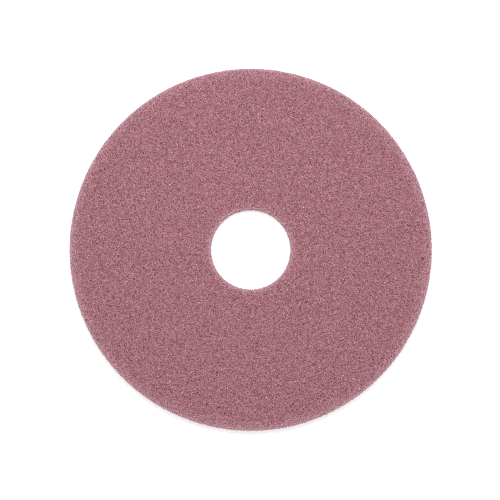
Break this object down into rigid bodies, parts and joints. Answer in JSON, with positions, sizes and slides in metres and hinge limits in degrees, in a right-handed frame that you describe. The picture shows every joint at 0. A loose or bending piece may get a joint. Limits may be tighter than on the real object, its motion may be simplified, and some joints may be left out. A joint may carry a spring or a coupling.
{
  "type": "floor pad",
  "caption": "Round nonwoven floor pad with an open centre hole and an abrasive working face, gripped by the pad driver of a rotary floor machine.",
  "frame": {"origin": "centre of the centre hole, on the driver face that the pad lies on", "axes": "+Z along the hole's axis, from the driver face to the working face; X and Y lie in the driver face, and the pad is round about Z"},
  "size_m": [0.4063, 0.4064, 0.025],
  "materials": {
    "abrasive_face": "matt dusty pink resin-bonded fibre with fine glints",
    "fibre_web": "matt dusty pink open nonwoven fibre"
  },
  "bodies": {
    "root": {"abrasive_face": "abrasive_face", "fibre_web": "fibre_web"}
  },
  "joints": []
}
